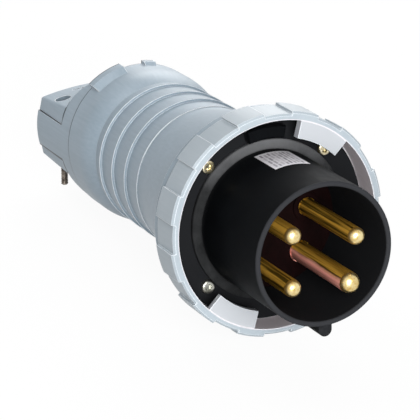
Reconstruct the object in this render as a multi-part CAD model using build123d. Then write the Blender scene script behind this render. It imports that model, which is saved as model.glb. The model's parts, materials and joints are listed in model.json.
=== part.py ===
from build123d import *
from math import atan, cos, degrees, radians, sqrt
import os

# Industrial pin-and-sleeve plug: three phase pins, an earth pin and a pilot pin in a round sleeve,
# a turning bayonet ring, a hollow body and a rear cap with a two-jaw cable clamp.
# Sizes are in millimetres. The plug is built with its axis along X, its pins towards +X, the rim of
# the sleeve at x = 0 and +Z up. Clock angles are degrees, read from the front, clockwise from the top.
# The last section lays the plug down as it rests, on its ring and the ends of its clamp screws.

# Clearances, and how far a cut or a root runs past the face that it meets
fixed_gap = 0.1
turning_gap = 0.3
overrun = 1.0

# Contact sleeve
sleeve_r = 41.5
sleeve_wall = 3.0
sleeve_length = 72.5
rim_round = 1.2
key_width = 8.0
key_reach = 48.0
key_gap = 0.3
flange_r = 60.0
flange_thickness = 3.2
lug_clocks = (346.0, 371.0)
lug_inner_r = 49.0
lug_outer_r = 56.0
lug_height = 7.0
lug_round = 1.0

# Contact block and the plate behind it
block_height = 7.5
block_shoulder_r = 42.0
block_shoulder_thickness = 5.0
boss_wall = 3.4
boss_height = 1.2
plate_thickness = 4.0
plate_screw_r = 2.0
plate_screw_length = 11.0
plate_screw_head_r = 3.6
plate_screw_head_height = 2.2

# Pins, on a circle whose centre lies a little below the plug's axis
pin_circle_r = 23.2
pin_circle_drop = 2.9
phase_clocks = (67.5, 231.1, 312.0)
phase_pin_r = 5.0
phase_tip_depth = 0.3
earth_circle_r = 24.2
earth_clock = 135.9
earth_pin_r = 6.0
earth_tip_depth = -0.8
pilot_pin_r = 3.0
pilot_tip_depth = 40.0
tip_flat_share = 0.15
root_step = 0.4
root_reach = 0.6
collar_wall = 3.2
collar_step = 1.0
collar_thickness = 4.0
barrel_wall = 2.9
barrel_length = 27.0
cable_bore_depth = 22.0
pilot_barrel_length = 18.0
clamp_screw_r = 3.0
clamp_screw_length = 6.5
clamp_screw_pitch = 11.0
clamp_screw_proud = 1.0
pilot_screw_r = 1.5
pilot_screw_length = 3.5

# Gasket, seal and the four screws of the flange
gasket_width = 5.7
gasket_thickness = 2.5
seal_inner_r = 44.0
seal_outer_r = 47.5
seal_thickness = 2.0
flange_screw_circle_r = 51.5
flange_screw_clocks = (45.5, 138.0, 228.5, 315.5)
flange_screw_r = 2.0
flange_screw_length = 16.0
flange_screw_head_r = 4.0
flange_screw_head_height = 2.6
flange_screw_head_round = 0.9
flange_screw_socket_r = 1.5
flange_screw_socket_depth = 1.6

# Bayonet ring
ring_reach = 15.2
ring_bore_gap = 1.4
ring_wall = 3.4
ring_pad_rise = 1.5
ring_chamfer = 1.2
ring_pad_count = 12
ring_pad_clock = 9.4
web_thickness = 3.0
tab_clocks = (15.5, 46.0)
tab_count = 2
tab_inner_r = 51.0
tab_recess = 0.4
tab_thickness = 3.2
tab_ramp_rise = 2.0
ring_travel = 60.0
stop_clock = 120.0
stop_width = 12.0
stop_height = 2.3

# Housing, with the places of its forms measured back from the flange
nose_r = 56.2
nose_bore_r = 42.3
collar_flange_r = 63.0
collar_flange_thickness = 8.0
flare_start_r = 59.0
flare_start_back = 13.8
flare_end_r = 47.1
flare_end_back = 64.3
grip_r = 44.0
grip_start_back = 78.3
ledge_pitch = 19.0
ledge_count = 4
ledge_height = 1.7
first_ledge_rise = 0.6
shoulder_start_back = 145.3
shoulder_end_back = 165.3
shoulder_fall = 1.2
shoulder_share = 0.4
rear_r = 48.3
housing_length = 180.3
cavity_r = 40.5
inner_web_thickness = 4.0
inner_web_bore_r = 26.0
pad_root_depth = 1.0
big_pad_clocks = (321.0, 347.0)
big_pad_height = 3.2
big_pad_length = 14.0
small_pad_clocks = (4.0, 13.0)
small_pad_height = 2.0
small_pad_length = 9.0
seam_chamfer = 0.4

# Rear cap, its seal, grommet and washer
cap_r = 47.8
cap_length = 15.2
roof_lead = 1.0
roof_top = 40.4
roof_bulge = 2.2
roof_foot = 22.2
spigot_r = 44.2
spigot_length = 9.8
cap_seal_thickness = 2.0
cap_seal_width = 7.0
grommet_r = 33.9
cable_r = 20.5
cap_wall = 4.0
washer_thickness = 2.5
washer_play = 1.0

# Cable clamp
clamp_turn = 1.9
saddle_length = 39.6
saddle_top = 10.3
saddle_bottom = 12.7
upper_jaw_side = 18.4
upper_jaw_crown = 5.9
upper_jaw_rise = 2.4
lower_jaw_side = 19.2
lower_jaw_crown = 4.0
lower_jaw_rise = 3.4
jaw_side_round = 2.0
jaw_end_round = 0.7
jaw_gap = 0.2
clamp_bolt_back = 20.6
clamp_bolt_y = 37.0
clamp_bolt_r = 2.3
clamp_bolt_low = 35.6
clamp_bolt_head_r = 4.0
clamp_bolt_head_height = 3.2
clamp_bolt_seat = 15.0
counterbore_r = 5.0
slot_back = 31.7
slot_width = 1.2
slot_sides = (-26.0, -18.0)
slot_floor = 20.6
nut_flats = 7.0
nut_thickness = 3.6
nut_seat = 17.0

# Planes along the axis, worked out from the sizes above
flange_front = -sleeve_length
flange_rear = flange_front - flange_thickness
block_rear = flange_rear - block_shoulder_thickness
plate_rear = block_rear - plate_thickness
block_front = flange_front + block_height
ring_front = flange_front + ring_reach
web_front = flange_rear - turning_gap
web_rear = web_front - web_thickness
collar_front = web_rear - turning_gap
flare_start = flange_rear - flare_start_back
flare_end = flange_rear - flare_end_back
shoulder_start = flange_rear - shoulder_start_back
shoulder_end = flange_rear - shoulder_end_back
housing_rear = flange_rear - housing_length
spigot_front = housing_rear + spigot_length
inner_web_rear = spigot_front + cap_seal_thickness + 2 * fixed_gap
cap_rear = housing_rear - cap_length
cap_floor = cap_rear + cap_wall
saddle_rear = cap_rear - saddle_length
clamp_bolt_x = cap_rear - clamp_bolt_back

# Radii worked out from the sizes above
sleeve_bore_r = sleeve_r - sleeve_wall
ring_bore_r = flange_r + ring_bore_gap
ring_low_r = ring_bore_r + ring_wall
ring_pad_r = ring_low_r + ring_pad_rise


def turned(outline, clock_from=0.0, clock_to=360.0):
    """Turn an outline of (x, radius) points about the plug's axis, from one clock angle to another."""
    face = Plane.XZ * make_face(Polyline(*outline, close=True))
    return Rot(X=-clock_to) * revolve(face, Axis.X, clock_to - clock_from)


def band(x_rear, x_front, r_inner, r_outer, clock_from=0.0, clock_to=360.0):
    """A plain ring, or a sector of one."""
    outline = [(x_rear, r_inner), (x_rear, r_outer), (x_front, r_outer), (x_front, r_inner)]
    return turned(outline, clock_from, clock_to)


def rod(x_rear, x_front, radius):
    """A plain round bar along the plug's axis."""
    return Pos((x_rear + x_front) / 2, 0, 0) * Rot(Y=90) * Cylinder(radius, x_front - x_rear)


def at_clock(clock, radius):
    """The place at a clock angle and radius, turned so that its local +Z points outwards."""
    return Rot(X=-clock) * Pos(0, 0, radius)


def pin_spot(clock, circle_r=pin_circle_r):
    """The place of a pin on its circle, turned so that its clamp screws face outwards."""
    return Pos(0, 0, -pin_circle_drop) * at_clock(clock, circle_r)


earth_spot = pin_spot(earth_clock, earth_circle_r)


# Contact sleeve: shroud, flange, key rib and stop lug in one moulding
def make_contact_sleeve():
    sleeve = turned([(flange_rear, sleeve_bore_r), (flange_rear, flange_r), (flange_front, flange_r),
                     (flange_front, sleeve_r), (0, sleeve_r), (0, sleeve_bore_r)])
    sleeve = fillet(sleeve.edges().group_by(Axis.X)[-1], rim_round)
    key_r = key_width / 2
    key_rear = flange_front + gasket_thickness + key_gap
    key_front = -rim_round
    key_centre = key_reach - key_r
    key_root = sleeve_r - sleeve_wall / 2
    key = Pos((key_rear + key_front) / 2, 0, -(key_root + key_centre) / 2) * Box(
        key_front - key_rear, key_width, key_centre - key_root)
    key += Pos(0, 0, -key_centre) * rod(key_rear, key_front, key_r)
    lug = band(flange_front, flange_front + lug_height, lug_inner_r, lug_outer_r, *lug_clocks)
    lug = fillet(lug.edges().group_by(Axis.X)[-1], lug_round)
    sleeve = sleeve + key + lug
    for clock in flange_screw_clocks:
        sleeve -= at_clock(clock, flange_screw_circle_r) * rod(
            flange_rear - overrun, flange_front + overrun, flange_screw_r + fixed_gap)
    return sleeve


# Contact block: stands in the sleeve, its shoulder against the back of the flange
def plate_screw_clocks():
    """Clock angles halfway between neighbouring pins."""
    clocks = sorted((earth_clock,) + phase_clocks)
    following = clocks[1:] + [clocks[0] + 360]
    return [(first + second) / 2 for first, second in zip(clocks, following)]


def make_contact_block():
    block_r = sleeve_bore_r - fixed_gap
    block = turned([(block_rear, 0), (block_rear, block_shoulder_r), (flange_rear, block_shoulder_r),
                    (flange_rear, block_r), (block_front, block_r), (block_front, 0)])
    for clock in phase_clocks:
        block += pin_spot(clock) * rod(block_front, block_front + boss_height, phase_pin_r + boss_wall)
    for spot, radius in pins_in_block():
        block -= spot * rod(block_rear - overrun, block_front + boss_height + overrun,
                            radius + root_step + fixed_gap)
        block -= spot * rod(block_rear - overrun, block_rear + collar_thickness,
                            radius + collar_wall + fixed_gap)
    for clock in plate_screw_clocks():
        depth = plate_screw_length - plate_thickness
        block -= at_clock(clock, pin_circle_r) * rod(block_rear - overrun, block_rear + depth, plate_screw_r)
    return block


def pins_in_block():
    """Each pin's place and radius."""
    phases = [(pin_spot(clock), phase_pin_r) for clock in phase_clocks]
    return phases + [(earth_spot, earth_pin_r), (Pos(0, 0, 0), pilot_pin_r)]


# Pins: a turned contact with a domed tip, a thicker root and collar in the block, and a barrel
# for the conductor
def make_pin(radius, tip_depth, root_front, barrel_end, bore_depth):
    tip = -tip_depth
    flat = radius * tip_flat_share
    dome_end = tip - (radius - flat)
    root_r = radius + root_step
    collar_r = radius + collar_wall
    barrel_r = collar_r - collar_step
    bore_r = barrel_r - barrel_wall
    dome = RadiusArc((tip, flat), (dome_end, radius), radius - flat)
    rest = Polyline((dome_end, radius), (root_front, radius), (root_front, root_r),
                    (block_rear + collar_thickness, root_r),
                    (block_rear + collar_thickness, collar_r), (block_rear, collar_r),
                    (block_rear, barrel_r), (barrel_end, barrel_r), (barrel_end, bore_r),
                    (barrel_end + bore_depth, bore_r), (barrel_end + bore_depth, 0), (tip, 0), (tip, flat))
    return revolve(Plane.XZ * make_face(dome + rest), Axis.X)


def clamp_screw_places(barrel_end, barrel_r, length, count):
    """Places of the clamp screws of a pin that stands on the axis."""
    places = []
    for index in range(count):
        x = barrel_end + clamp_screw_pitch * (index + 0.5)
        places.append(Pos(x, 0, barrel_r + clamp_screw_proud - length / 2))
    return places


def make_power_pin(radius, tip_depth, root_front):
    barrel_end = plate_rear - barrel_length
    barrel_r = radius + collar_wall - collar_step
    pin = make_pin(radius, tip_depth, root_front, barrel_end, cable_bore_depth)
    for place in clamp_screw_places(barrel_end, barrel_r, clamp_screw_length, 2):
        pin -= place * Cylinder(clamp_screw_r, clamp_screw_length)
    return pin


def make_power_pin_screws(radius):
    barrel_end = plate_rear - barrel_length
    barrel_r = radius + collar_wall - collar_step
    places = clamp_screw_places(barrel_end, barrel_r, clamp_screw_length, 2)
    return [place * Cylinder(clamp_screw_r - fixed_gap / 2, clamp_screw_length) for place in places]


def make_pilot_pin():
    barrel_end = plate_rear - pilot_barrel_length
    barrel_r = pilot_pin_r + collar_wall - collar_step
    bore_depth = pilot_barrel_length - plate_thickness
    pin = make_pin(pilot_pin_r, pilot_tip_depth, block_front + root_reach, barrel_end, bore_depth)
    for place in clamp_screw_places(barrel_end, barrel_r, pilot_screw_length, 1):
        pin -= place * Cylinder(pilot_screw_r, pilot_screw_length)
    return pin


def make_pilot_screw():
    barrel_end = plate_rear - pilot_barrel_length
    barrel_r = pilot_pin_r + collar_wall - collar_step
    place = clamp_screw_places(barrel_end, barrel_r, pilot_screw_length, 1)[0]
    return place * Cylinder(pilot_screw_r - fixed_gap / 2, pilot_screw_length)


# Retaining plate: traps the pins' collars in the block
def make_retaining_plate():
    plate = rod(plate_rear, block_rear, block_shoulder_r)
    for spot, radius in pins_in_block():
        barrel_r = radius + collar_wall - collar_step
        plate -= spot * rod(plate_rear - overrun, block_rear + overrun, barrel_r + fixed_gap)
    for clock in plate_screw_clocks():
        plate -= at_clock(clock, pin_circle_r) * rod(plate_rear - overrun, block_rear + overrun,
                                                     plate_screw_r + fixed_gap)
    return plate


def make_plate_screws():
    front = plate_rear + plate_screw_length
    screws = []
    for clock in plate_screw_clocks():
        screw = rod(plate_rear, front, plate_screw_r - fixed_gap / 2)
        screw += rod(plate_rear - plate_screw_head_height, plate_rear, plate_screw_head_r)
        screws.append(at_clock(clock, pin_circle_r) * screw)
    return screws


# Flange: gasket in front, seal behind, four screws through it
def make_flange_gasket():
    inner = sleeve_r + fixed_gap
    return band(flange_front, flange_front + gasket_thickness, inner, inner + gasket_width)


def make_flange_seal():
    rear = flange_rear - seal_thickness
    return band(rear, flange_rear, seal_inner_r + fixed_gap, seal_outer_r - fixed_gap)


def make_flange_screws():
    screws = []
    for clock in flange_screw_clocks:
        screw = rod(flange_front - flange_screw_length, flange_front, flange_screw_r)
        head = rod(flange_front, flange_front + flange_screw_head_height, flange_screw_head_r)
        head = fillet(head.edges().group_by(Axis.X)[-1], flange_screw_head_round)
        top = flange_front + flange_screw_head_height
        head -= rod(top - flange_screw_socket_depth, top + overrun, flange_screw_socket_r)
        screws.append(at_clock(clock, flange_screw_circle_r) * (screw + head))
    return screws


# Bayonet ring: raised and low grip pads outside, two ramped tabs inside, a web that holds it
def make_tab(clock_from, clock_to):
    tab_front = ring_front - tab_recess
    deepest = tab_front - tab_thickness - tab_ramp_rise
    tab = band(deepest, tab_front, tab_inner_r, ring_bore_r + overrun, clock_from, clock_to)
    middle_r = (tab_inner_r + ring_bore_r) / 2
    half_span = middle_r * radians(clock_to - clock_from) / 2
    slope = degrees(atan(tab_ramp_rise / (2 * half_span)))
    middle = at_clock((clock_from + clock_to) / 2, middle_r)
    ramp_x = tab_front - tab_thickness - tab_ramp_rise / 2
    reach = 4 * half_span
    cutter = middle * Pos(ramp_x, 0, 0) * Rot(Z=-slope) * Pos(-reach / 2, 0, 0) * Box(reach, reach, reach)
    return tab - cutter


def make_bayonet_ring():
    ring = turned([(ring_front, ring_bore_r), (ring_front, ring_low_r - ring_chamfer),
                   (ring_front - ring_chamfer, ring_low_r), (web_rear, ring_low_r),
                   (web_rear, nose_r + turning_gap), (web_front, nose_r + turning_gap),
                   (web_front, ring_bore_r)])
    pad_span = 360 / ring_pad_count / 2
    pad_root = ring_low_r - ring_chamfer
    for index in range(ring_pad_count):
        start = ring_pad_clock + index * 2 * pad_span
        ring += turned([(ring_front, pad_root), (ring_front, ring_pad_r - ring_chamfer),
                        (ring_front - ring_chamfer, ring_pad_r), (web_rear, ring_pad_r),
                        (web_rear, pad_root)], start, start + pad_span)
    for index in range(tab_count):
        turn = index * 360 / tab_count
        ring += make_tab(tab_clocks[0] + turn, tab_clocks[1] + turn)
    stop_r = nose_r + stop_height + turning_gap
    gap_clock = degrees(turning_gap / nose_r)
    ring -= band(web_rear - overrun, web_front + overrun, nose_r, stop_r,
                 stop_clock - stop_width / 2 - gap_clock,
                 stop_clock + stop_width / 2 + gap_clock + ring_travel)
    return ring


# Housing: nose that carries the ring, flared body with four stepped ledges, rounded rear collar
def make_housing():
    cone_drop = (flare_start_r - flare_end_r) / (flare_start - flare_end)
    collar_rear = collar_front - collar_flange_thickness
    ledges = [flange_rear - grip_start_back - index * ledge_pitch for index in range(ledge_count)]
    ledge_r = grip_r + ledge_height
    front = Polyline((plate_rear - turning_gap, cavity_r), (plate_rear - turning_gap, nose_bore_r),
                     (flange_rear, nose_bore_r), (flange_rear, nose_r), (collar_front, nose_r),
                     (collar_front, collar_flange_r), (collar_rear, collar_flange_r),
                     (flare_start, flare_start_r), (flare_end, flare_end_r))
    blend = TangentArc((flare_end, flare_end_r), (ledges[0], ledge_r - first_ledge_rise),
                       tangent=(-1, -cone_drop))
    steps = [(ledges[0], ledge_r)]
    for ledge in ledges[1:]:
        steps += [(ledge, grip_r), (ledge, ledge_r)]
    steps.append((shoulder_start, grip_r))
    shoulder_middle = shoulder_start + (shoulder_end - shoulder_start) * shoulder_share
    shoulder = ThreePointArc((shoulder_start, grip_r), (shoulder_middle, rear_r - shoulder_fall),
                             (shoulder_end, rear_r))
    back = Polyline((shoulder_end, rear_r), (housing_rear + seam_chamfer, rear_r),
                    (housing_rear, rear_r - seam_chamfer), (housing_rear, spigot_r + fixed_gap),
                    (inner_web_rear, spigot_r + fixed_gap), (inner_web_rear, inner_web_bore_r),
                    (inner_web_rear + inner_web_thickness, inner_web_bore_r),
                    (inner_web_rear + inner_web_thickness, cavity_r),
                    (plate_rear - turning_gap, cavity_r))
    outline = front + blend + Polyline(blend @ 1, *steps) + shoulder + back
    housing = revolve(Plane.XZ * make_face(outline), Axis.X)
    housing += make_collar_pad(big_pad_height, big_pad_length, big_pad_clocks)
    housing += make_collar_pad(small_pad_height, small_pad_length, small_pad_clocks)
    housing += band(collar_front, web_front, nose_r - overrun, nose_r + stop_height,
                    stop_clock - stop_width / 2, stop_clock + stop_width / 2)
    housing -= band(flange_rear - seal_thickness, flange_rear + overrun, seal_inner_r, seal_outer_r)
    for clock in flange_screw_clocks:
        end = flange_front - flange_screw_length
        housing -= at_clock(clock, flange_screw_circle_r) * rod(end, flange_rear + overrun,
                                                                flange_screw_r + fixed_gap)
    return housing


def make_collar_pad(height, length, clocks):
    """A raised sector on the rear collar, whose front half slopes down into it."""
    root = rear_r - pad_root_depth
    top = rear_r + height
    return turned([(housing_rear, root), (housing_rear, top), (housing_rear + length / 2, top),
                   (housing_rear + length, root)], *clocks)


# Rear cap: spigot in the housing, a round body that falls away to the clamp, and the clamp's
# saddle walls
def make_rear_cap():
    inner_r = grommet_r + fixed_gap
    cap = turned([(saddle_rear, cable_r), (saddle_rear, cap_r), (housing_rear - seam_chamfer, cap_r),
                  (housing_rear, cap_r - seam_chamfer), (housing_rear, spigot_r), (spigot_front, spigot_r),
                  (spigot_front, inner_r), (cap_floor, inner_r), (cap_floor, cable_r)])
    upper_room = make_jaw_room(saddle_top)
    lower_room = Rot(X=180) * make_jaw_room(saddle_bottom)
    cap -= upper_room + lower_room
    for side in (-1, 1):
        cap -= Pos(clamp_bolt_x, side * clamp_bolt_y, 0) * Cylinder(
            clamp_bolt_r + turning_gap, 2 * (saddle_top + saddle_bottom))
    return cap


def make_jaw_room(seat):
    """What is cut from the cap above a saddle wall: the jaw's seat and the fall down to it."""
    roof_front = housing_rear - roof_lead
    middle = ((roof_front + cap_rear) / 2 - roof_bulge, (roof_top + roof_foot) / 2 + roof_bulge)
    fall = ThreePointArc((roof_front, roof_top), middle, (cap_rear, roof_foot))
    clear = cap_r + overrun
    around = Polyline((cap_rear, roof_foot), (cap_rear, seat), (saddle_rear - overrun, seat),
                      (saddle_rear - overrun, clear), (roof_front, clear), (roof_front, roof_top))
    return extrude(Plane.XZ * make_face(fall + around), clear, both=True)


def make_cap_seal():
    return band(spigot_front + fixed_gap, inner_web_rear - fixed_gap, spigot_r - cap_seal_width, spigot_r)


def make_thrust_washer():
    return band(inner_web_rear - fixed_gap - washer_thickness, inner_web_rear - fixed_gap,
                cable_r + washer_play, grommet_r)


def make_cable_grommet():
    front = inner_web_rear - 2 * fixed_gap - washer_thickness
    return band(cap_floor + fixed_gap, front, cable_r, grommet_r)


# Clamp: two jaws, two long screws and their nuts
def make_jaw(seat, side_top, crown, rise):
    """A jaw above its seat on the saddle walls, flush with them, with a crowned top that rises to the front."""
    foot = seat + jaw_gap
    front = cap_rear - jaw_gap
    half_width = sqrt(cap_r ** 2 - side_top ** 2)
    ring = band(saddle_rear, front, cable_r, cap_r)
    seated = Pos((saddle_rear + front) / 2, 0, foot + cap_r / 2) * Box(front - saddle_rear, 2 * cap_r, cap_r)
    crown_arc = ThreePointArc((-half_width, side_top), (0, side_top + crown), (half_width, side_top))
    around = Polyline((half_width, side_top), (cap_r, 0), (-cap_r, 0), (-half_width, side_top))
    under_crown = extrude(Plane.YZ * make_face(crown_arc + around), 2 * saddle_length, both=True)
    slope = degrees(atan(rise / saddle_length))
    jaw = (ring & seated & (Pos(saddle_rear, 0, 0) * Rot(Y=-slope) * under_crown)).solids()[0]
    top = jaw.faces().sort_by(Axis.Z)[-1]
    jaw = fillet(top.edges().sort_by(Axis.X)[1:-1], jaw_side_round)
    ends = [edge for x in (saddle_rear, front)
            for edge in jaw.edges().filter_by_position(Axis.X, x - fixed_gap, x + fixed_gap)
            if min(vertex.Z for vertex in edge.vertices()) > side_top - 2 * jaw_side_round]
    jaw = fillet(ends, jaw_end_round)
    for hand in (-1, 1):
        jaw -= Pos(clamp_bolt_x, hand * clamp_bolt_y, side_top) * Cylinder(
            clamp_bolt_r + turning_gap, 4 * (side_top - foot))
    return jaw


def make_clamp_upper():
    jaw = make_jaw(saddle_top, upper_jaw_side, upper_jaw_crown, upper_jaw_rise)
    for side in (-1, 1):
        jaw -= Pos(clamp_bolt_x, side * clamp_bolt_y, clamp_bolt_seat) * Cylinder(
            counterbore_r, upper_jaw_side, align=(Align.CENTER, Align.CENTER, Align.MIN))
    jaw -= Pos(cap_rear - slot_back, sum(slot_sides) / 2, slot_floor) * Box(
        slot_width, slot_sides[1] - slot_sides[0], cap_r, align=(Align.CENTER, Align.CENTER, Align.MIN))
    return jaw


def make_clamp_lower():
    jaw = Rot(X=180) * make_jaw(saddle_bottom, lower_jaw_side, lower_jaw_crown, lower_jaw_rise)
    for side in (-1, 1):
        pocket = extrude(RegularPolygon(nut_flats / 2 + fixed_gap, 6, major_radius=False), lower_jaw_side)
        jaw -= Pos(clamp_bolt_x, side * clamp_bolt_y, -nut_seat - lower_jaw_side) * pocket
    return jaw


def make_clamp_screws():
    screws = []
    for side in (-1, 1):
        shank = Pos(0, 0, -clamp_bolt_low) * Cylinder(
            clamp_bolt_r, clamp_bolt_low + clamp_bolt_seat, align=(Align.CENTER, Align.CENTER, Align.MIN))
        head = Pos(0, 0, clamp_bolt_seat) * Cylinder(
            clamp_bolt_head_r, clamp_bolt_head_height, align=(Align.CENTER, Align.CENTER, Align.MIN))
        screws.append(Pos(clamp_bolt_x, side * clamp_bolt_y, 0) * (shank + head))
    return screws


def make_clamp_nuts():
    nuts = []
    for side in (-1, 1):
        nut = extrude(RegularPolygon(nut_flats / 2, 6, major_radius=False), nut_thickness)
        nut -= Cylinder(clamp_bolt_r + fixed_gap / 2, 3 * nut_thickness)
        nuts.append(Pos(clamp_bolt_x, side * clamp_bolt_y, -nut_seat - nut_thickness) * nut)
    return nuts


# Every node and its solid, or the solids of one group
def make_pieces():
    pieces = {
        "contact_sleeve": make_contact_sleeve(),
        "contact_block": make_contact_block(),
        "earth_pin": earth_spot * make_power_pin(earth_pin_r, earth_tip_depth, block_front + root_reach),
        "pilot_pin": make_pilot_pin(),
        "pilot_screw": make_pilot_screw(),
        "earth_screws": [earth_spot * screw for screw in make_power_pin_screws(earth_pin_r)],
        "phase_screws": [pin_spot(clock) * screw for clock in phase_clocks
                         for screw in make_power_pin_screws(phase_pin_r)],
        "retaining_plate": make_retaining_plate(),
        "plate_screws": make_plate_screws(),
        "flange_gasket": make_flange_gasket(),
        "flange_seal": make_flange_seal(),
        "flange_screws": make_flange_screws(),
        "bayonet_ring": make_bayonet_ring(),
        "housing": make_housing(),
        "rear_cap": make_rear_cap(),
        "cap_seal": make_cap_seal(),
        "thrust_washer": make_thrust_washer(),
        "cable_grommet": make_cable_grommet(),
        "clamp_upper": make_clamp_upper(),
        "clamp_lower": make_clamp_lower(),
        "clamp_screws": make_clamp_screws(),
        "clamp_nuts": make_clamp_nuts(),
    }
    phase_root = block_front + boss_height + root_reach
    for number, clock in enumerate(phase_clocks, start=1):
        pieces[f"phase_pin_{number}"] = pin_spot(clock) * make_power_pin(phase_pin_r, phase_tip_depth, phase_root)
    for name in ("rear_cap", "clamp_upper", "clamp_lower"):
        pieces[name] = Rot(X=-clamp_turn) * pieces[name]
    for name in ("clamp_screws", "clamp_nuts"):
        pieces[name] = [Rot(X=-clamp_turn) * item for item in pieces[name]]
    return pieces


# Rest: the lowest pad corners of the ring and the ends of the clamp screws stand on the floor,
# with the clamp upright, so that the rest of the plug leans a little
def resting_tilt():
    """Nose-up tilt in degrees, from the heights of the two supports and their distance."""
    pad_span = 360 / ring_pad_count / 2
    corners = [ring_pad_clock - clamp_turn + index * pad_span for index in range(2 * ring_pad_count)]
    off_bottom = min(abs(corner - 180) for corner in corners)
    ring_low = ring_pad_r * cos(radians(off_bottom))
    distance = web_rear - clamp_bolt_x + clamp_bolt_r
    return degrees(atan((ring_low - clamp_bolt_low) / distance))


def rest_place(pieces):
    """The move that lays the plug down with the centre of its base at the origin."""
    pose = Rot(Y=-resting_tilt()) * Rot(X=clamp_turn)
    solids = [pose * solid for piece in pieces.values() for solid in piece_solids(piece)]
    box = Compound(children=solids).bounding_box()
    centre = box.center()
    return Pos(-centre.X, -centre.Y, -box.min.Z) * pose


def piece_solids(piece):
    """The solids of one node."""
    group = piece if isinstance(piece, list) else [piece]
    return [solid for item in group for solid in item.solids()]


os.makedirs("parts", exist_ok=True)
plug = make_pieces()
rest = rest_place(plug)
for name, piece in plug.items():
    export_step(Compound(children=[rest * solid for solid in piece_solids(piece)]), f"parts/{name}.step")
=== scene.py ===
import json
from math import asin, cos, pi, radians, sin

import bpy
from mathutils import Matrix, Quaternion, Vector


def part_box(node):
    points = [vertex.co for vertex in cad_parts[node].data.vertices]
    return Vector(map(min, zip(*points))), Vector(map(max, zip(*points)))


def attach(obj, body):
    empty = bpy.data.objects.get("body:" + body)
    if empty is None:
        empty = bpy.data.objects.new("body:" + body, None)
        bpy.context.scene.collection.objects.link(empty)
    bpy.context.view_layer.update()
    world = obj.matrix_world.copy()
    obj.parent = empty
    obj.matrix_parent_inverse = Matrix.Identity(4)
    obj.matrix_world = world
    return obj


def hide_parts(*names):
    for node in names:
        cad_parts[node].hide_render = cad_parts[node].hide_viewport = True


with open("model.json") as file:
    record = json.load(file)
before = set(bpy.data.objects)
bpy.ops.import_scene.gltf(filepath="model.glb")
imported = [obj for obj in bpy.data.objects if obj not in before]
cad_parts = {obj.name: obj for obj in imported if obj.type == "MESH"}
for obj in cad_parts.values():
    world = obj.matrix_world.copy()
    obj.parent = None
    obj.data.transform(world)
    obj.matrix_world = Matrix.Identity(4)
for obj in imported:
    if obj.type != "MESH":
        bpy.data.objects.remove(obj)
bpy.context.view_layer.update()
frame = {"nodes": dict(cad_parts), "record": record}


# Contact sleeve: the black shroud round the pins with its flange, key rib and stop lug, moulded in
# one piece from glass-filled polyamide and screwed to the housing. The plug's own frame starts at
# the centre of the shroud's rim: x forwards along the axis, z up, clock angles seen from the front.
mm = 0.001
sleeve_mount = next(mount for mount in frame["record"]["mounts"] if mount["name"] == "sleeve")
plug_axis = Vector(sleeve_mount["axis"])
rim_centre = Vector(sleeve_mount["pos_m"]) + plug_axis * sleeve_mount["dims"]["length_mm"] / 2 * mm
plug_lean = radians(1.9)
plug_frame = (Matrix.Translation(rim_centre) @ Matrix.Rotation(-asin(plug_axis.z), 4, "Y")
              @ Matrix.Rotation(plug_lean, 4, "X"))


def linear(hex_colour):
    """An sRGB hex colour as linear numbers."""
    channels = [int(hex_colour[at:at + 2], 16) / 255 for at in (1, 3, 5)]
    return tuple(c / 12.92 if c <= 0.04045 else ((c + 0.055) / 1.055) ** 2.4 for c in channels) + (1.0,)


def add(tree, kind, inputs=None, **settings):
    """Add a shader node with its settings, and give its inputs numbers or links."""
    node = tree.nodes.new("ShaderNode" + kind)
    for name, value in settings.items():
        setattr(node, name, value)
    for name, value in (inputs or {}).items():
        if isinstance(value, bpy.types.NodeSocket):
            tree.links.new(value, node.inputs[name])
        else:
            node.inputs[name].default_value = value
    return node


def start_material(name):
    """A new material, its tree, its shader and the place on the plug in millimetres."""
    material = bpy.data.materials.new(name)
    material.use_nodes = True
    tree = material.node_tree
    tree.nodes.clear()
    shader = add(tree, "BsdfPrincipled")
    add(tree, "OutputMaterial", {"Surface": shader.outputs["BSDF"]})
    to_plug = plug_frame.inverted()
    place = add(tree, "Mapping", {"Vector": add(tree, "TexCoord").outputs["Object"],
                                  "Location": to_plug.translation / mm,
                                  "Rotation": to_plug.to_euler(), "Scale": (1 / mm,) * 3})
    return material, tree, shader, place.outputs["Vector"]


def dress(material, *names):
    """Show CAD nodes in a material."""
    for name in names:
        for slot in frame["nodes"][name].material_slots:
            slot.material = material


def radius_of(tree, place):
    """The distance from the plug's axis in millimetres, as a socket."""
    across = add(tree, "VectorMath", {0: place, 1: (0.0, 1.0, 1.0)}, operation="MULTIPLY")
    return add(tree, "VectorMath", {0: across.outputs["Vector"]}, operation="LENGTH").outputs["Value"]


# Where the black skin is painted lighter, as painted light: inside the shroud, from the flange back, and
# along the rim
shroud_inner_r, inner_blend = 40.0, 0.5
painted_light_front_x, painted_light_rear_x = -66.0, -71.0
rim_highlight_rear_x, rim_highlight_front_x = -1.2, -0.4


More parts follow.
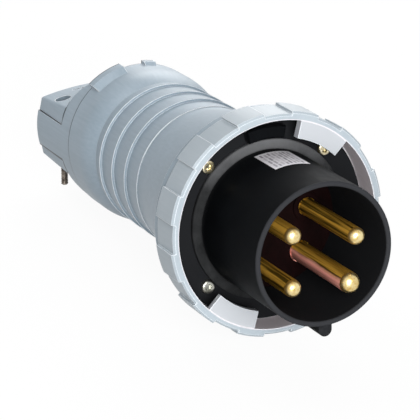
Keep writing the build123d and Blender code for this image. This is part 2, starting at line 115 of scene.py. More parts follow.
def moulded_black(name, dark, light, roughness, gloss):
    """Moulded black polyamide: near black, with the cloudy satin of glass fibres under the skin."""
    material, tree, shader, place = start_material(name)
    # The clouding is a few millimetres across. The grain of the tool is about 0.3 mm and is drawn
    # at 0.8 mm, because less than that is finer than the render shows.
    cloud = add(tree, "TexNoise", {"Vector": place, "Scale": 1 / 14, "Detail": 4.0, "Roughness": 0.6})
    tone = add(tree, "ValToRGB", {"Fac": cloud.outputs["Fac"]})
    tone.color_ramp.elements[0].position = 0.35
    tone.color_ramp.elements[0].color = linear(dark)
    tone.color_ramp.elements[1].position = 0.68
    tone.color_ramp.elements[1].color = linear(light)
    # Inside the shroud and on the flange the skin is painted lighter, as painted light
    along = add(tree, "SeparateXYZ", {"Vector": place})
    inner = add(tree, "MapRange", {"Value": radius_of(tree, place),
                                   "From Min": shroud_inner_r + inner_blend,
                                   "From Max": shroud_inner_r - inner_blend})
    behind = add(tree, "MapRange", {"Value": along.outputs["X"], "From Min": painted_light_front_x,
                                    "From Max": painted_light_rear_x})
    painted_light_inside_and_flange = add(tree, "Math", {0: inner.outputs["Result"], 1: behind.outputs["Result"]},
                operation="MAXIMUM")
    tone = add(tree, "Mix", {0: painted_light_inside_and_flange.outputs["Value"], 6: tone.outputs["Color"], 7: linear("#1D1E20")},
               data_type="RGBA")
    # The rim's front is painted grey, a painted highlight, with a ragged edge
    rim_edge_noise = add(tree, "TexNoise", {"Vector": place, "Scale": 1 / 2.2, "Detail": 3.0})
    ragged = add(tree, "Math", {0: rim_edge_noise.outputs["Fac"], 1: 0.8, 2: along.outputs["X"]},
                 operation="MULTIPLY_ADD")
    painted_highlight = add(tree, "MapRange", {"Value": ragged.outputs["Value"], "From Min": rim_highlight_rear_x,
                                    "From Max": rim_highlight_front_x, "To Max": 0.9})
    skin = add(tree, "Mix", {0: painted_highlight.outputs["Result"], 6: tone.outputs[2], 7: linear("#333437")},
               data_type="RGBA")
    tree.links.new(skin.outputs[2], shader.inputs["Base Color"])
    satin = add(tree, "MapRange", {"Value": cloud.outputs["Fac"], "From Min": 0.3, "From Max": 0.7,
                                   "To Min": roughness - 0.06, "To Max": roughness + 0.06})
    tree.links.new(satin.outputs["Result"], shader.inputs["Roughness"])
    grain = add(tree, "TexNoise", {"Vector": place, "Scale": 1 / 0.8, "Detail": 2.0})
    edge = add(tree, "Bevel", {"Radius": 0.4 * mm}, samples=4)
    bump = add(tree, "Bump", {"Strength": 0.25, "Distance": 0.05 * mm, "Height": grain.outputs["Fac"],
                              "Normal": edge.outputs["Normal"]})
    tree.links.new(bump.outputs["Normal"], shader.inputs["Normal"])
    shader.inputs["Specular IOR Level"].default_value = gloss
    return material


dress(moulded_black("moulded_black_polyamide", "#07080A", "#0B0D0F", 0.6, 0.03), "contact_sleeve")
# The retaining plate and the thrust washer, inside the plug, are of the same plastic and paler
dress(moulded_black("moulded_black_plate", "#191A1C", "#222426", 0.52, 0.22), "retaining_plate",
      "thrust_washer")


# Contact block: the dark maroon block that the pins stand in, moulded from a glass-filled polyester that
# stays stiff when hot. Its surface is satin, with darker flow clouds.
block_material, tree, shader, place = start_material("moulded_maroon_polyester")
flow = add(tree, "TexNoise", {"Vector": place, "Scale": 1 / 9, "Detail": 5.0, "Roughness": 0.65,
                              "Distortion": 0.6})
tone = add(tree, "ValToRGB", {"Fac": flow.outputs["Fac"]})
tone.color_ramp.elements[0].position = 0.3
tone.color_ramp.elements[0].color = linear("#080101")
tone.color_ramp.elements[1].position = 0.72
tone.color_ramp.elements[1].color = linear("#140404")
tree.links.new(tone.outputs["Color"], shader.inputs["Base Color"])
shader.inputs["Roughness"].default_value = 0.55
shader.inputs["Specular IOR Level"].default_value = 0.06
speckle = add(tree, "TexNoise", {"Vector": place, "Scale": 1 / 0.7, "Detail": 2.0})
edge = add(tree, "Bevel", {"Radius": 0.4 * mm}, samples=4)
bump = add(tree, "Bump", {"Strength": 0.25, "Distance": 0.05 * mm, "Height": speckle.outputs["Fac"],
                          "Normal": edge.outputs["Normal"]})
tree.links.new(bump.outputs["Normal"], shader.inputs["Normal"])
dress(block_material, "contact_block")


# Pins: turned from brass bar and polished, so they show rings from the tool, and streaks along the length
# from being pushed into sockets. The streaks are painted brown: a little tarnish, and partly painted dark
# reflection.
def turned_brass(name, clean, brown, side_tint=None, side_tint_centre=None, side_tint_way=None):
    """Brass with brown streaks, partly tarnish and partly painted dark reflection, and, if a side colour is
    given, one side in that colour.
    """
    material, tree, shader, place = start_material(name)
    # Streaks: 2 mm wide across the pin and 90 mm long
    drawn_out = add(tree, "Mapping", {"Vector": place, "Scale": (1 / 90, 1 / 2, 1 / 2)})
    streaks = add(tree, "TexNoise", {"Vector": drawn_out.outputs["Vector"], "Scale": 1.0, "Detail": 3.0,
                                     "Roughness": 0.55})
    amount = add(tree, "MapRange", {"Value": streaks.outputs["Fac"], "From Min": 0.4, "From Max": 0.56})
    # Brown in the streaks: a little tarnish, and partly painted dark reflection
    colour = add(tree, "Mix", {0: amount.outputs["Result"], 6: linear(brown), 7: linear(clean)},
                 data_type="RGBA")
    colour = colour.outputs[2]
    if side_tint:
        from_centre = add(tree, "VectorMath", {0: place, 1: side_tint_centre}, operation="SUBTRACT")
        across = add(tree, "VectorMath", {0: from_centre.outputs["Vector"], 1: side_tint_way},
                     operation="DOT_PRODUCT")
        edge_wave = add(tree, "TexNoise", {"Vector": place, "Scale": 1 / 16, "Detail": 2.0})
        shifted = add(tree, "Math", {0: edge_wave.outputs["Fac"], 1: 2.0, 2: across.outputs["Value"]},
                      operation="MULTIPLY_ADD")
        side = add(tree, "MapRange", {"Value": shifted.outputs["Value"], "From Min": 0.6, "From Max": 2.6})
        mixed = add(tree, "Mix", {0: side.outputs["Result"], 6: colour, 7: linear(side_tint)}, data_type="RGBA")
        colour = mixed.outputs[2]
    tree.links.new(colour, shader.inputs["Base Color"])
    shader.inputs["Metallic"].default_value = 1.0
    # The rings left by the tool throw light along the pin, which shows as bright lengthwise streaks
    shader.inputs["Anisotropic"].default_value = 0.85
    worn = add(tree, "MapRange", {"Value": amount.outputs["Result"], "To Min": 0.56, "To Max": 0.46})
    tree.links.new(worn.outputs["Result"], shader.inputs["Roughness"])
    tangent = add(tree, "CombineXYZ", dict(zip("XYZ", plug_axis)))
    tree.links.new(tangent.outputs["Vector"], shader.inputs["Tangent"])
    # Tool marks: rings 0.25 mm apart on the real pin, drawn at 0.7 mm so that they show
    rings = add(tree, "Mapping", {"Vector": place, "Scale": (1 / 0.7, 1 / 40, 1 / 40)})
    marks = add(tree, "TexNoise", {"Vector": rings.outputs["Vector"], "Scale": 1.0, "Detail": 2.0})
    bump = add(tree, "Bump", {"Strength": 0.05, "Distance": 0.04 * mm, "Height": marks.outputs["Fac"]})
    tree.links.new(bump.outputs["Normal"], shader.inputs["Normal"])
    return material


dress(turned_brass("turned_brass", "#C4963A", "#40300D"), "phase_pin_1", "phase_pin_2", "phase_pin_3",
      "pilot_pin")
# The earth pin's lower left side, seen from the front, is coloured pink-copper
earth_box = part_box("earth_pin")
earth_middle = plug_frame.inverted() @ ((earth_box[0] + earth_box[1]) / 2) / mm
copper_side = (0.0, -0.63, -0.777)
dress(turned_brass("turned_brass_with_pink_copper_side", "#B98D36", "#3C2D0C", "#F4AC9C", tuple(earth_middle),
                   copper_side), "earth_pin")


# Small screws inside the plug, which clamp the wires in the pins and hold the retaining plate, and
# the nuts of the cable clamp: zinc-plated steel. The plating is bright and a little milky.
def plated_steel(name, bright, dull, roughness):
    """Plated steel: a thin bright coat that has dulled in patches."""
    material, tree, shader, place = start_material(name)
    patches = add(tree, "TexNoise", {"Vector": place, "Scale": 1 / 2.5, "Detail": 4.0, "Roughness": 0.6})
    tone = add(tree, "ValToRGB", {"Fac": patches.outputs["Fac"]})
    tone.color_ramp.elements[0].position = 0.36
    tone.color_ramp.elements[0].color = linear(dull)
    tone.color_ramp.elements[1].position = 0.62
    tone.color_ramp.elements[1].color = linear(bright)
    tree.links.new(tone.outputs["Color"], shader.inputs["Base Color"])
    shader.inputs["Metallic"].default_value = 1.0
    milky = add(tree, "MapRange", {"Value": patches.outputs["Fac"], "From Min": 0.3, "From Max": 0.7,
                                   "To Min": roughness + 0.08, "To Max": roughness - 0.08})
    tree.links.new(milky.outputs["Result"], shader.inputs["Roughness"])
    pits = add(tree, "TexNoise", {"Vector": place, "Scale": 1 / 0.5, "Detail": 2.0})
    bump = add(tree, "Bump", {"Strength": 0.2, "Distance": 0.03 * mm, "Height": pits.outputs["Fac"]})
    tree.links.new(bump.outputs["Normal"], shader.inputs["Normal"])
    return material


zinc_plated = plated_steel("bright_zinc_plated_steel", "#D6D6CE", "#A9A99C", 0.34)
dress(zinc_plated, "pilot_screw", "phase_screws", "earth_screws", "plate_screws", "clamp_nuts")


# Gasket on the front of the flange, the two seals and the cable's grommet: moulded rubber, grey with bloom,
# matt and dusty, so the gasket looks lighter than the black plastic beside it. Its upper part is painted
# lighter still, as painted light.
rubber, tree, shader, place = start_material("moulded_rubber")
mottle = add(tree, "TexNoise", {"Vector": place, "Scale": 1 / 11, "Detail": 6.0, "Roughness": 0.7})
tone = add(tree, "ValToRGB", {"Fac": mottle.outputs["Fac"]})
tone.color_ramp.elements[0].position = 0.32
tone.color_ramp.elements[0].color = linear("#18191A")
tone.color_ramp.elements[1].position = 0.7
tone.color_ramp.elements[1].color = linear("#2D2E2F")
# The upper part is painted lighter, as painted light from above, with an edge that wanders
top_light_low_z, top_light_full_z, top_light_wander = 30.0, 66.0, 16.0
height = add(tree, "SeparateXYZ", {"Vector": place})
wandering = add(tree, "Math", {0: mottle.outputs["Fac"], 1: top_light_wander, 2: height.outputs["Z"]},
                operation="MULTIPLY_ADD")
painted_top_light = add(tree, "MapRange", {"Value": wandering.outputs["Value"], "From Min": top_light_low_z,
                                "From Max": top_light_full_z})
skin = add(tree, "Mix", {0: painted_top_light.outputs["Result"], 6: tone.outputs["Color"], 7: linear("#707173")},
           data_type="RGBA")
tree.links.new(skin.outputs[2], shader.inputs["Base Color"])
shader.inputs["Roughness"].default_value = 0.8
shader.inputs["Specular IOR Level"].default_value = 0.15
pores = add(tree, "TexNoise", {"Vector": place, "Scale": 1 / 0.9, "Detail": 3.0})
edge = add(tree, "Bevel", {"Radius": 2.0 * mm}, samples=6)
bump = add(tree, "Bump", {"Strength": 0.4, "Distance": 0.06 * mm, "Height": pores.outputs["Fac"],
                          "Normal": edge.outputs["Normal"]})
tree.links.new(bump.outputs["Normal"], shader.inputs["Normal"])
dress(rubber, "flange_gasket", "flange_seal", "cap_seal", "cable_grommet")


# Flange screws: four pan-head screws through the flange into the housing, three of them yellow
# zinc-plated with a six-lobe recess, and the lower left one bright with a hexagon socket.
screw_corners = 48


def round_form(angle):
    """A circle."""
    return 1.0


def six_lobe_form(angle):
    """A recess with six rounded lobes."""
    return 1 + 0.16 * cos(6 * angle)


def hexagon_form(angle):
    """A hexagon, as a share of the radius to the middle of its flats."""
    return 1 / cos((angle + pi / 6) % (pi / 3) - pi / 6)


def thread_form(core_share, turn):
    """A screw thread's radius at one height, from its core to its crest, turned by a share of a pitch."""
    def radius_share(angle):
        rise = (turn - angle / (2 * pi)) % 1.0
        return core_share + (1 - core_share) * (1 - abs(2 * rise - 1))
    return radius_share


def screw_rings(length, shank_r, core_r, pitch, head_r, head_height, recess_r, recess_depth, recess_form):
    """Rings of (height, radius, form) from the screw's end up, over the head and down into its recess.
    Height 0 is the seat of the head."""
    end_share = 0.8
    run_out_share = 0.4
    head_edge_share = 0.4
    recess_mouth_share, recess_bevel_share, recess_floor_share = 1.12, 0.12, 0.92
    steps_in_pitch = 6
    rings = [(-length, core_r * end_share, round_form)]
    steps = int((length - pitch) / pitch * steps_in_pitch)
    for step in range(steps + 1):
        height = -length + pitch * run_out_share + step * pitch / steps_in_pitch
        rings.append((height, shank_r, thread_form(core_r / shank_r, step / steps_in_pitch)))
    rings += [(-pitch * run_out_share, core_r, round_form), (0.0, core_r, round_form),
              (0.0, head_r, round_form)]
    edge = head_height * head_edge_share
    for share in (0.0, 0.35, 0.7, 1.0):
        swing = share * pi / 2
        rings.append((head_height - edge + edge * sin(swing), head_r - edge * (1 - cos(swing)), round_form))
    rings += [(head_height, recess_r * recess_mouth_share, recess_form),
              (head_height - recess_r * recess_bevel_share, recess_r, recess_form),
              (head_height - recess_depth, recess_r * recess_floor_share, recess_form)]
    return rings


def ring_mesh(rings, placing, points, faces):
    """Add a closed form made of rings, capped at both ends, moved by placing, to a mesh's lists."""
    first = len(points)
    for height, radius, form in rings:
        for corner in range(screw_corners):
            angle = 2 * pi * corner / screw_corners
            reach = radius * form(angle)
            points.append(placing @ Vector((reach * cos(angle), reach * sin(angle), height)))
    bottom, top = len(points), len(points) + 1
    points.append(placing @ Vector((0, 0, rings[0][0])))
    points.append(placing @ Vector((0, 0, rings[-1][0])))
    last = first + (len(rings) - 1) * screw_corners
    for corner in range(screw_corners):
        beside = (corner + 1) % screw_corners
        faces.append((bottom, first + beside, first + corner))
        faces.append((top, last + corner, last + beside))
        for level in range(first, last, screw_corners):
            faces.append((level + corner, level + beside, level + screw_corners + beside,
                          level + screw_corners + corner))


def add_piece(name, points, faces, materials, face_slots=None, body="plug_body"):
    """A new piece from points in the plug's frame in millimetres. It rides on a body."""
    mesh = bpy.data.meshes.new(name)
    mesh.from_pydata([plug_frame @ (Vector(point) * mm) for point in points], [], faces)
    for material in materials:
        mesh.materials.append(material)
    if face_slots:
        mesh.polygons.foreach_set("material_index", face_slots)
    mesh.polygons.foreach_set("use_smooth", [True] * len(faces))
    mesh.set_sharp_from_angle(angle=radians(35))
    piece = bpy.data.objects.new(name, mesh)
    bpy.context.scene.collection.objects.link(piece)
    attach(piece, body)
    return piece


yellow_zinc = plated_steel("yellow_zinc_plated_steel", "#EBE4CC", "#BCAE84", 0.3)
flange_front = -sleeve_mount["dims"]["length_mm"]
flange_screw_clocks = (45.5, 138.0, 228.5, 315.5)
flange_screw_circle_r = 51.5
plain_screw_clock = 228.5
points, faces, face_slots = [], [], []
for clock in flange_screw_clocks:
    plain = clock == plain_screw_clock
    rings = screw_rings(length=16.0, shank_r=2.0, core_r=1.6, pitch=1.4, head_r=4.0, head_height=2.6,
                        recess_r=1.7 if plain else 1.9, recess_depth=1.6,
                        recess_form=hexagon_form if plain else six_lobe_form)
    placing = (Matrix.Rotation(-radians(clock), 4, "X")
               @ Matrix.Translation((flange_front, 0, flange_screw_circle_r))
               @ Matrix.Rotation(pi / 2, 4, "Y"))
    ring_mesh(rings, placing, points, faces)
    face_slots += [1 if plain else 0] * (len(faces) - len(face_slots))
flange_screws = add_piece("flange_screws_dressed", points, faces, (yellow_zinc, zinc_plated),
                          face_slots)
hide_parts("flange_screws")


# Pin tips: each pin ends in a polished dome, turned in one piece with it. The solids' tips are hollowed
# instead of domed, so the three phase pins and the earth pin get their true domes here, on the ends
# that their mounts give.
tip_brass, tree, shader, place = start_material("polished_brass_tips")
wear = add(tree, "TexNoise", {"Vector": place, "Scale": 1 / 3, "Detail": 4.0, "Roughness": 0.6})
tone = add(tree, "ValToRGB", {"Fac": wear.outputs["Fac"]})
tone.color_ramp.elements[0].position = 0.34
tone.color_ramp.elements[0].color = linear("#C9A75E")
tone.color_ramp.elements[1].position = 0.6
tone.color_ramp.elements[1].color = linear("#EAD9A4")
# Towards the straight part it is duller, with the rings of the tool still on it, and painted amber, as
# painted shade at the dome's foot
shaded_foot_x, lit_tip_x = -4.9, -1.2
forward = add(tree, "SeparateXYZ", {"Vector": place})
tip_polish_and_light = add(tree, "MapRange", {"Value": forward.outputs["X"], "From Min": shaded_foot_x,
                                  "From Max": lit_tip_x})
colour = add(tree, "Mix", {0: tip_polish_and_light.outputs["Result"], 6: linear("#C08A2C"), 7: tone.outputs["Color"]},
             data_type="RGBA")
tree.links.new(colour.outputs[2], shader.inputs["Base Color"])
shader.inputs["Metallic"].default_value = 1.0
polish = add(tree, "MapRange", {"Value": tip_polish_and_light.outputs["Result"], "To Min": 0.62, "To Max": 0.3})
tree.links.new(polish.outputs["Result"], shader.inputs["Roughness"])
tip_flat_share = 0.15
tip_skin = 0.03
tip_foot_depth, tip_foot_share = 0.3, 0.98
dome_steps = 12
points, faces = [], []
for mount in frame["record"]["mounts"]:
    if mount["kind"] == "pin":
        pin_r = mount["dims"]["r_mm"]
        middle = plug_frame.inverted() @ Vector(mount["pos_m"]) / mm
        placing = (Matrix.Translation(middle + Vector((mount["dims"]["length_mm"] / 2, 0, 0)))
                   @ Matrix.Rotation(pi / 2, 4, "Y"))
        flat_r = pin_r * tip_flat_share
        rings = [(-tip_foot_depth, pin_r * tip_foot_share, round_form)]
        for step in range(dome_steps + 1):
            swing = step / dome_steps * pi / 2
            rings.append(((pin_r - flat_r + tip_skin) * sin(swing), flat_r + (pin_r - flat_r) * cos(swing),
                          round_form))
        ring_mesh(rings, placing, points, faces)
add_piece("pin_tips_dressed", points, faces, (tip_brass,))


# Rating plate: a thin silver polyester label stuck on top of the shroud. It is left generic: a
# plain border, and grey bars where the real one has print.
label_rear, label_front = -64.5, -37.5
label_clocks = (-14.5, 15.5)
label_thickness = 0.12
label_rows, label_columns = 8, 24
label_inner_r = sleeve_mount["dims"]["r_mm"] + 0.02
points, faces = [], []
for layer in (label_inner_r, label_inner_r + label_thickness):
    for row in range(label_rows + 1):
        x = label_rear + (label_front - label_rear) * row / label_rows
        for column in range(label_columns + 1):
            clock = radians(label_clocks[0] + (label_clocks[1] - label_clocks[0]) * column / label_columns)
            points.append((x, layer * sin(clock), layer * cos(clock)))
width = label_columns + 1
upper = width * (label_rows + 1)
for row in range(label_rows):
    for column in range(label_columns):
        a = row * width + column
        faces.append((a, a + 1, a + width + 1, a + width))
        faces.append((upper + a, upper + a + width, upper + a + width + 1, upper + a + 1))
border = ([row * width for row in range(label_rows + 1)]
          + [label_rows * width + column for column in range(1, width)]
          + [row * width + width - 1 for row in range(label_rows - 1, -1, -1)]
          + [column for column in range(width - 2, 0, -1)])
for a, b in zip(border, border[1:] + border[:1]):
    faces.append((a, b, b + upper, a + upper))

label_material, tree, shader, place = start_material("printed_polyester_label")
# The bars are 1.1 mm high rows of print, 2.3 mm apart, broken into lengths of about 6 mm
parts = add(tree, "SeparateXYZ", {"Vector": place})
round_angle = add(tree, "Math", {0: parts.outputs["Y"], 1: parts.outputs["Z"]}, operation="ARCTAN2")
along_arc = add(tree, "Math", {0: round_angle.outputs["Value"], 1: label_inner_r}, operation="MULTIPLY")
flat = add(tree, "CombineXYZ", {"X": parts.outputs["X"], "Y": along_arc.outputs["Value"]})
bars = add(tree, "TexBrick", {"Vector": flat.outputs["Vector"], "Color1": linear("#8E8A93"),
                              "Color2": linear("#DCD9DE"), "Mortar": linear("#ECEAEE"), "Scale": 1.0,
                              "Mortar Size": 0.6, "Mortar Smooth": 0.3, "Brick Width": 6.2,
                              "Row Height": 2.3}, offset=0.37, offset_frequency=2)
half_length = (label_front - label_rear) / 2
half_width = radians(label_clocks[1] - label_clocks[0]) * label_inner_r / 2
middle = ((label_front + label_rear) / 2, radians(sum(label_clocks) / 2) * label_inner_r)
from_middle_x = add(tree, "Math", {0: parts.outputs["X"], 1: middle[0]}, operation="SUBTRACT")
from_middle_y = add(tree, "Math", {0: along_arc.outputs["Value"], 1: middle[1]}, operation="SUBTRACT")
off_x = add(tree, "Math", {0: from_middle_x.outputs["Value"]}, operation="ABSOLUTE")
off_y = add(tree, "Math", {0: from_middle_y.outputs["Value"]}, operation="ABSOLUTE")
margin = 1.8
in_x = add(tree, "Math", {0: off_x.outputs["Value"], 1: half_length - margin}, operation="LESS_THAN")
in_y = add(tree, "Math", {0: off_y.outputs["Value"], 1: half_width - margin}, operation="LESS_THAN")
inside = add(tree, "Math", {0: in_x.outputs["Value"], 1: in_y.outputs["Value"]}, operation="MULTIPLY")
print_colour = add(tree, "Mix", {0: inside.outputs["Value"], 6: linear("#ECEAEE"),
                                 7: bars.outputs["Color"]}, data_type="RGBA")
tree.links.new(print_colour.outputs[2], shader.inputs["Base Color"])
shader.inputs["Roughness"].default_value = 0.38
add_piece("rating_plate", points, faces, (label_material,))


# Bayonet ring: moulded from grey polyamide, with raised grip pads outside and two ramped tabs inside; its
# grey is painted lighter than the body's, as painted light. It turns on the housing's nose and pulls the
# plug home. Fine satin, a touch of gloss.
def moulded_grey(name, dark, light, edge_highlight_tone, roughness, streak_share, inside=None, seam_shade_of=None):
    """Moulded grey polyamide: even colour, faint flow streaks along the axis and a fine spark grain."""
    material, tree, shader, place = start_material(name)
    cloud = add(tree, "TexNoise", {"Vector": place, "Scale": 1 / 30, "Detail": 3.0})
    drawn_out = add(tree, "Mapping", {"Vector": place, "Scale": (1 / 45, 1 / 1.6, 1 / 1.6)})
    streaks = add(tree, "TexNoise", {"Vector": drawn_out.outputs["Vector"], "Scale": 1.0, "Detail": 2.0})
    both = add(tree, "Mix", {0: streak_share, 2: cloud.outputs["Fac"], 3: streaks.outputs["Fac"]},
               data_type="FLOAT")
    tone = add(tree, "ValToRGB", {"Fac": both.outputs[0]})
    tone.color_ramp.elements[0].position = 0.34
    tone.color_ramp.elements[0].color = linear(dark)
    tone.color_ramp.elements[1].position = 0.66
    tone.color_ramp.elements[1].color = linear(light)
    tone = tone.outputs["Color"]
    if inside:
        # The bore wall and what stands inside it are painted lighter than the ring, as painted light
        bore_r, lit_tab_tone, lit_bore_tone = inside
        from_bore = add(tree, "Math", {0: radius_of(tree, place), 1: bore_r}, operation="SUBTRACT")
        on_bore = add(tree, "MapRange", {"Value": from_bore.outputs["Value"], "From Min": -0.5,
                                         "From Max": -0.2})
        painted_bore_light = add(tree, "Mix", {0: on_bore.outputs["Result"], 6: linear(lit_tab_tone), 7: linear(lit_bore_tone)},
                   data_type="RGBA")
        in_bore = add(tree, "MapRange", {"Value": from_bore.outputs["Value"], "From Min": 0.6,
                                         "From Max": 0.1})
        tone = add(tree, "Mix", {0: in_bore.outputs["Result"], 6: tone, 7: painted_bore_light.outputs[2]},
                   data_type="RGBA").outputs[2]
    # Painted shade in seams and corners, and a painted highlight as a pale line along outer edges
    edge = add(tree, "Bevel", {"Radius": 0.8 * mm}, samples=8)
    surface = add(tree, "NewGeometry")
    bend = add(tree, "VectorMath", {0: edge.outputs["Normal"], 1: surface.outputs["True Normal"]},
               operation="DOT_PRODUCT")
    shelter = add(tree, "AmbientOcclusion", {"Distance": 1.0 * mm}, samples=8)
    sharp = add(tree, "MapRange", {"Value": bend.outputs["Value"], "From Min": 0.99, "From Max": 0.9,
                                   "To Min": 0.0, "To Max": 1.0})
    open_edge = add(tree, "MapRange", {"Value": shelter.outputs["AO"], "From Min": 0.4, "From Max": 0.7})
    edge_highlight_mask = add(tree, "Math", {0: sharp.outputs["Result"], 1: open_edge.outputs["Result"]},
                  operation="MULTIPLY")
    painted_highlight = add(tree, "Mix", {0: edge_highlight_mask.outputs["Value"], 6: tone, 7: linear(edge_highlight_tone)},
                 data_type="RGBA")
    painted_shade = add(tree, "MapRange", {"Value": shelter.outputs["AO"], "From Min": 0.1, "From Max": 0.5,
                                   "To Min": 0.75, "To Max": 0.0})
    painted_shade = painted_shade.outputs["Result"]
    if seam_shade_of:
        painted_shade = add(tree, "Math", {0: painted_shade, 1: seam_shade_of(tree, place)}, operation="MAXIMUM").outputs["Value"]
    # Painted shade: corners, creases and joints darken to a dark grey
    skin = add(tree, "Mix", {0: painted_shade, 6: painted_highlight.outputs[2], 7: linear("#3C444B")},
               data_type="RGBA")
    tree.links.new(skin.outputs[2], shader.inputs["Base Color"])
    satin = add(tree, "MapRange", {"Value": cloud.outputs["Fac"], "From Min": 0.3, "From Max": 0.7,
                                   "To Min": roughness - 0.04, "To Max": roughness + 0.04})
    tree.links.new(satin.outputs["Result"], shader.inputs["Roughness"])
    # Spark grain: 0.3 mm on the real part, drawn at 0.8 mm, which is as fine as the render shows
    grain = add(tree, "TexNoise", {"Vector": place, "Scale": 1 / 0.8, "Detail": 2.0})
    bump = add(tree, "Bump", {"Strength": 0.2, "Distance": 0.05 * mm, "Height": grain.outputs["Fac"],
                              "Normal": edge.outputs["Normal"]})
    tree.links.new(bump.outputs["Normal"], shader.inputs["Normal"])
    return material


ring_bore_r = 61.4
# The ring's lighter grey, its pale bore and lighter tabs are painted light; its edges get a painted
# highlight and its corners painted shade
ring_grey = moulded_grey("moulded_grey_polyamide_painted_lighter", "#A1ACB4", "#ACB6BD", "#E8EEF3", 0.44, 0.3,
                         inside=(ring_bore_r, "#B6BABF", "#F2E8EC"))
dress(ring_grey, "bayonet_ring")


# Housing, rear cap and the two jaws of the clamp: the grey body, moulded from the same polyamide; the ring
# is painted a lighter grey than it, as painted light. The cap screws into the housing, and the jaws are
# pulled together over the cable.
# Joints of cap and jaws, where painted shade goes: their places and half widths in millimetres
cap_seam_x, cap_seam_half = -256.0, 0.9
jaw_front_x, jaw_front_half = -271.3, 0.8
upper_seam_z, upper_seam_half = 10.4, 0.2
lower_seam_z, lower_seam_half = -12.8, 0.9
clamp_up = Matrix.Rotation(-plug_lean, 3, "X") @ Vector((0.0, 0.0, 1.0))


def body_seam_shade(tree, place):
    """1 along the joints of cap and jaws, where shade is painted. They are 0.2 mm wide and drawn wider, so
    that they show.
    """
    along = add(tree, "SeparateXYZ", {"Vector": place}).outputs["X"]
    height = add(tree, "VectorMath", {0: place, 1: clamp_up}, operation="DOT_PRODUCT").outputs["Value"]
    seam_shade_mask = add(tree, "Math", {0: along, 1: cap_seam_x, 2: cap_seam_half},
                operation="COMPARE").outputs["Value"]
    at_front = add(tree, "Math", {0: along, 1: jaw_front_x, 2: jaw_front_half}, operation="COMPARE")
    behind = add(tree, "Math", {0: along, 1: jaw_front_x}, operation="LESS_THAN")
    for seam_z, seam_half, side in ((upper_seam_z, upper_seam_half, "GREATER_THAN"),
                                    (lower_seam_z, lower_seam_half, "LESS_THAN")):
        at_seat = add(tree, "Math", {0: height, 1: seam_z, 2: seam_half}, operation="COMPARE")
        seat = add(tree, "Math", {0: at_seat.outputs["Value"], 1: behind.outputs["Value"]},
                   operation="MULTIPLY")
        beyond = add(tree, "Math", {0: height, 1: seam_z}, operation=side)
        front = add(tree, "Math", {0: at_front.outputs["Value"], 1: beyond.outputs["Value"]},
                    operation="MULTIPLY")
        both = add(tree, "Math", {0: seat.outputs["Value"], 1: front.outputs["Value"]},
                   operation="MAXIMUM")
        seam_shade_mask = add(tree, "Math", {0: seam_shade_mask, 1: both.outputs["Value"]},
                    operation="MAXIMUM").outputs["Value"]
    return seam_shade_mask


body_grey = moulded_grey("moulded_grey_polyamide", "#8C9CA8", "#99A8B4", "#EEF3F7", 0.44, 0.45,
                         seam_shade_of=body_seam_shade)
dress(body_grey, "housing", "rear_cap", "clamp_upper", "clamp_lower")


# Clamp screws: two long cheese-head screws with a real thread, dark zinc-plated, which pull the jaws
# together. The thread is 0.8 mm in pitch and is drawn at 1.1 mm so that it shows.
dark_zinc = plated_steel("dark_zinc_plated_steel", "#8A8178", "#4C453E", 0.42)
clamp_screw_x, clamp_screw_y, clamp_seat, clamp_screw_low = -291.8, 37.0, 15.0, 35.6
points, faces = [], []
for side in (-1, 1):
    rings = screw_rings(length=clamp_seat + clamp_screw_low, shank_r=2.3, core_r=1.85, pitch=1.1,
                        head_r=4.0, head_height=3.2, recess_r=1.8, recess_depth=2.0,
                        recess_form=hexagon_form)
    placing = (Matrix.Rotation(-plug_lean, 4, "X")
               @ Matrix.Translation((clamp_screw_x, side * clamp_screw_y, clamp_seat)))
    ring_mesh(rings, placing, points, faces)
clamp_screws = add_piece("clamp_screws_dressed", points, faces, (dark_zinc,))
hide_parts("clamp_screws")


# Studio: the plug lies on a plain painted floor under three soft lamps. To the camera and in
# reflections the floor and the air are white; the floor keeps a faint part of the plug's shadow.
def seen_rays(tree):
    """1 for camera, glossy and transmission rays and 0 for those that only carry light, as a socket."""
    ray = add(tree, "LightPath").outputs
    seen = add(tree, "Math", {0: ray["Is Camera Ray"], 1: ray["Is Glossy Ray"]}, operation="ADD")
    seen = add(tree, "Math", {0: seen.outputs["Value"], 1: ray["Is Transmission Ray"]},
               operation="ADD", use_clamp=True)
    return seen.outputs["Value"]


floor_half = 4.0
floor_corners = [(x * floor_half, y * floor_half, 0) for x, y in ((-1, -1), (1, -1), (1, 1), (-1, 1))]
floor_mesh = bpy.data.meshes.new("floor")
floor_mesh.from_pydata(floor_corners, [], [(0, 1, 2, 3)])
floor_material = bpy.data.materials.new("painted_studio_floor")
floor_material.use_nodes = True
tree = floor_material.node_tree
tree.nodes.clear()
seen = seen_rays(tree)
white_share = 0.94
share = add(tree, "Math", {0: seen, 1: white_share}, operation="MULTIPLY")
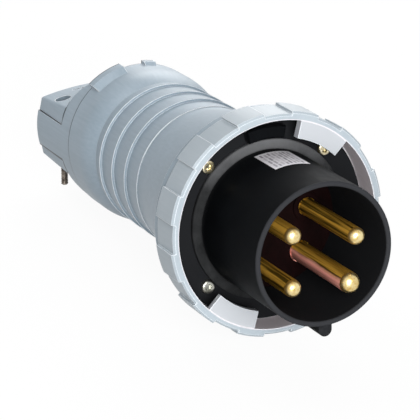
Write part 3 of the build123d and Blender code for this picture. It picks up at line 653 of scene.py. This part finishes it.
# The paint is uneven over two or three metres, and seen rays meet it paler than light does
paint_grain = add(tree, "TexNoise", {"Scale": 3.0, "Detail": 3.0})
paint = add(tree, "MapRange", {"Value": paint_grain.outputs["Fac"], "To Min": 0.5, "To Max": 0.54})
tone = add(tree, "Mix", {0: seen, 2: paint.outputs["Result"], 3: 0.95}, data_type="FLOAT")
matt = add(tree, "BsdfDiffuse", {"Color": tone.outputs[0]})
white = add(tree, "Emission", {"Color": (1, 1, 1, 1), "Strength": 1.0})
mixed = add(tree, "MixShader", {0: share.outputs["Value"], 1: matt.outputs["BSDF"],
                                2: white.outputs["Emission"]})
add(tree, "OutputMaterial", {"Surface": mixed.outputs["Shader"]})
floor_mesh.materials.append(floor_material)
floor = bpy.data.objects.new("floor", floor_mesh)
bpy.context.scene.collection.objects.link(floor)

world = bpy.data.worlds.new("studio_air")
bpy.context.scene.world = world
world.use_nodes = True
tree = world.node_tree
tree.nodes.clear()
air_light = 0.2
strength = add(tree, "MapRange", {"Value": seen_rays(tree), "To Min": air_light, "To Max": 1.0})
air = add(tree, "Background", {"Color": (1, 1, 1, 1), "Strength": strength.outputs["Result"]})
add(tree, "OutputWorld", {"Surface": air.outputs["Background"]})

# Each lamp's place and width in metres and its power in watts. All point at the middle of the
# plug's base.
lamps = (("front_lamp", (1.65, -0.4, 0.65), 1.2, 41.0),
         ("back_lamp", (-1.4, 0.9, 1.0), 1.4, 24.0),
         ("top_lamp", (-0.5, -0.5, 1.4), 0.8, 6.0))
for name, offset, size, power in lamps:
    lamp = bpy.data.lights.new(name, "AREA")
    lamp.shape = "DISK"
    lamp.size = size
    lamp.energy = power
    stand = bpy.data.objects.new(name, lamp)
    stand.location = Vector(offset)
    stand.rotation_euler = (-Vector(offset)).to_track_quat("-Z", "Y").to_euler()
    bpy.context.scene.collection.objects.link(stand)

# Camera: where the photograph was taken from, worked out from the round edges in it
camera_offset = Vector((1.12004, -0.61710, 0.61155))
aim_offset = Vector((-0.03574, -0.05366, 0.01868))
camera_roll = radians(3.517)
camera_data = bpy.data.cameras.new("camera")
camera_data.sensor_width = 36.0
camera_data.lens = 222.857
camera_data.clip_start = 0.05
camera_data.clip_end = 30.0
camera = bpy.data.objects.new("camera", camera_data)
camera.location = rim_centre + camera_offset
aimed = (aim_offset - camera_offset).to_track_quat("-Z", "Y")
camera.rotation_mode = "QUATERNION"
camera.rotation_quaternion = aimed @ Quaternion((0, 0, 1), camera_roll)
bpy.context.scene.collection.objects.link(camera)
bpy.context.scene.camera = camera
bpy.context.scene.view_settings.view_transform = "Standard"
